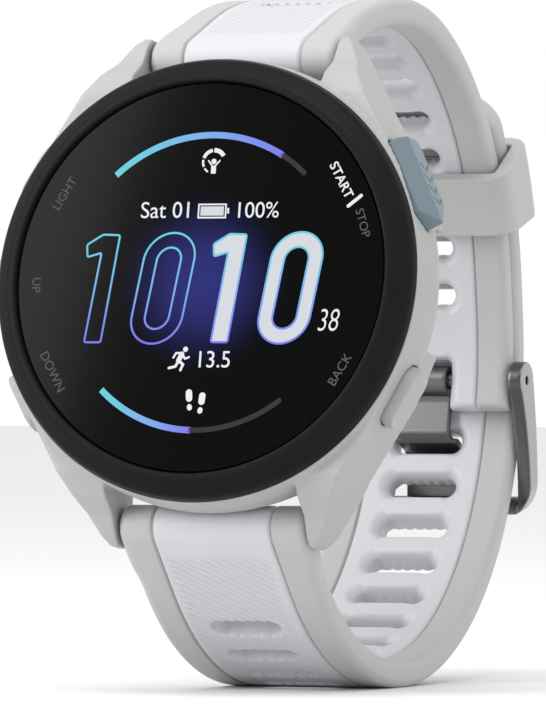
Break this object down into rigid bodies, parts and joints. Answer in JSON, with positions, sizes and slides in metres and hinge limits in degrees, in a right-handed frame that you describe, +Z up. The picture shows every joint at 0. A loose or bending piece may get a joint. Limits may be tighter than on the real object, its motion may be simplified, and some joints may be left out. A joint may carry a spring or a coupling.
{
  "type": "gps running watch",
  "caption": "Round sports watch on a buckled two-tone strap: sloping bezel, glass, push buttons, sensor back, slotted band, keeper and tongue buckle.",
  "frame": {"origin": "centre of the bounding box, at its bottom, where the band meets the surface it stands on", "axes": "+Z up, from 6 o'clock to 12 o'clock with the watch leaning 9.8 degrees back; +X towards 3 o'clock; -Y the side that the lens faces, +Y towards the buckle"},
  "size_m": [0.0458, 0.0683, 0.0679],
  "materials": {
    "shell_grey": "fine matte",
    "bezel_dark": "satin",
    "cover_glass": "polished",
    "black_tape": "matte",
    "display_panel": "polished",
    "copper_strip": "bright",
    "inner_plastic": "matte",
    "circuit_board": "satin",
    "tinned_steel": "satin",
    "cell_wrap": "satin",
    "buzzer_brass": "satin",
    "black_plastic": "satin",
    "light_chips": "clear",
    "sensor_lens": "polished",
    "gold_contacts": "plated",
    "back_grey": "satin",
    "black_rubber": "matte",
    "steel": "satin",
    "button_blue": "metallic satin",
    "band_white": "soft matte, ribbed",
    "band_grey": "soft matte",
    "dark_steel": "brushed"
  },
  "bodies": {
    "watch": {"case_body": "shell_grey", "bezel": "bezel_dark", "lens": "cover_glass", "lens_seal": "black_tape", "display": "display_panel", "antenna_ring": "copper_strip", "mid_frame": "inner_plastic", "main_board": "circuit_board", "shield_cans": "tinned_steel", "battery": "cell_wrap", "vibration_motor": "tinned_steel", "buzzer": "buzzer_brass", "side_switches": "black_plastic", "sensor_board": "circuit_board", "sensor_lights": "light_chips", "sensor_window": "sensor_lens", "charge_socket": "black_plastic", "charge_pins": "gold_contacts", "caseback": "back_grey", "caseback_gasket": "black_rubber", "caseback_screws": "steel", "button_seals": "black_rubber", "upper_bar": "steel", "lower_bar": "steel", "upper_band_core": "band_white", "upper_band_rails": "band_grey", "lower_band_core": "band_white", "lower_band_rails": "band_grey", "buckle_pin": "dark_steel"},
    "start_push": {"start_button": "button_blue", "start_stem": "steel"},
    "back_push": {"back_button": "shell_grey", "back_stem": "steel"},
    "light_push": {"light_button": "shell_grey", "light_stem": "steel"},
    "up_push": {"up_button": "shell_grey", "up_stem": "steel"},
    "down_push": {"down_button": "shell_grey", "down_stem": "steel"},
    "keeper": {"keeper": "band_grey"},
    "buckle_frame": {"buckle_frame": "dark_steel"},
    "buckle_tongue": {"buckle_tongue": "dark_steel"},
    "upper_plunger": {"upper_bar_plunger": "steel"},
    "lower_plunger": {"lower_bar_plunger": "steel"}
  },
  "joints": [
    {"name": "start_press", "type": "slide", "parent": "watch", "child": "start_push", "axis": [-0.8988, -0.0746, -0.432], "range_m": [0, 0.00035], "stiffness_N_per_m": 2000, "springref_m": -0.001},
    {"name": "back_press", "type": "slide", "parent": "watch", "child": "back_push", "axis": [-0.8746, 0.0825, 0.4777], "range_m": [0, 0.00035], "stiffness_N_per_m": 2000, "springref_m": -0.001},
    {"name": "light_press", "type": "slide", "parent": "watch", "child": "light_push", "axis": [0.866, -0.0851, -0.4927], "range_m": [0, 0.00035], "stiffness_N_per_m": 2000, "springref_m": -0.001},
    {"name": "up_press", "type": "slide", "parent": "watch", "child": "up_push", "axis": [1, 0, 0], "range_m": [0, 0.00035], "stiffness_N_per_m": 2000, "springref_m": -0.001},
    {"name": "down_press", "type": "slide", "parent": "watch", "child": "down_push", "axis": [0.866, 0.0851, 0.4927], "range_m": [0, 0.00035], "stiffness_N_per_m": 2000, "springref_m": -0.001},
    {"name": "keeper_slide", "type": "hinge", "parent": "watch", "child": "keeper", "pos_m": [0, -0.00064, 0.03695], "axis": [1, 0, 0], "range_deg": [-9, 34]},
    {"name": "buckle_swing", "type": "hinge", "parent": "watch", "child": "buckle_frame", "pos_m": [0, 0.0297, 0.03015], "axis": [1, 0, 0], "range_deg": [-1.5, 2.5]},
    {"name": "tongue_swing", "type": "hinge", "parent": "watch", "child": "buckle_tongue", "pos_m": [0, 0.0297, 0.03015], "axis": [1, 0, 0], "range_deg": [-1.5, 2.5]},
    {"name": "upper_bar_release", "type": "slide", "parent": "watch", "child": "upper_plunger", "axis": [-1, 0, 0], "range_m": [0, 0.0011], "stiffness_N_per_m": 600, "springref_m": -0.002},
    {"name": "lower_bar_release", "type": "slide", "parent": "watch", "child": "lower_plunger", "axis": [-1, 0, 0], "range_m": [0, 0.0011], "stiffness_N_per_m": 600, "springref_m": -0.002}
  ],
  "couplings": [
    {"joint": "tongue_swing", "follows": "buckle_swing", "ratio": 1}
  ]
}
